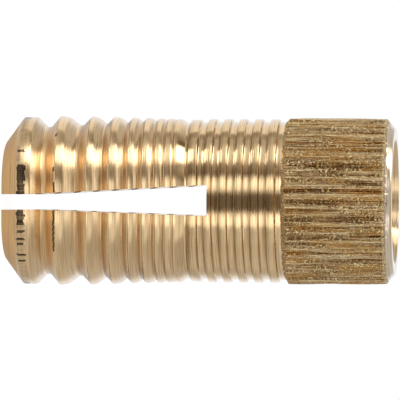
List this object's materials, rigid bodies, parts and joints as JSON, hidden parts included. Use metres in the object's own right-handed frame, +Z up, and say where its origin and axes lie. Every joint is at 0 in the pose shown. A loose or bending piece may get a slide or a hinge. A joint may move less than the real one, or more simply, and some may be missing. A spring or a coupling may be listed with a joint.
{
  "type": "threaded insert",
  "caption": "Brass expansion insert: a knurled, ringed and slotted sleeve with a through thread and squeezed jaws.",
  "frame": {"origin": "middle of the tip's end face, on the surface that the insert stands on", "axes": "+Z up the sleeve's axis to the threaded mouth, X across the slot (the jaws close along X), Y along the slot"},
  "size_m": [0.0108, 0.0114, 0.025],
  "materials": {
    "brass": "turned, bright on the crests and satin on the flanks, with a rough cut knurl"
  },
  "bodies": {
    "root": {"insert_body": "brass"}
  },
  "joints": []
}
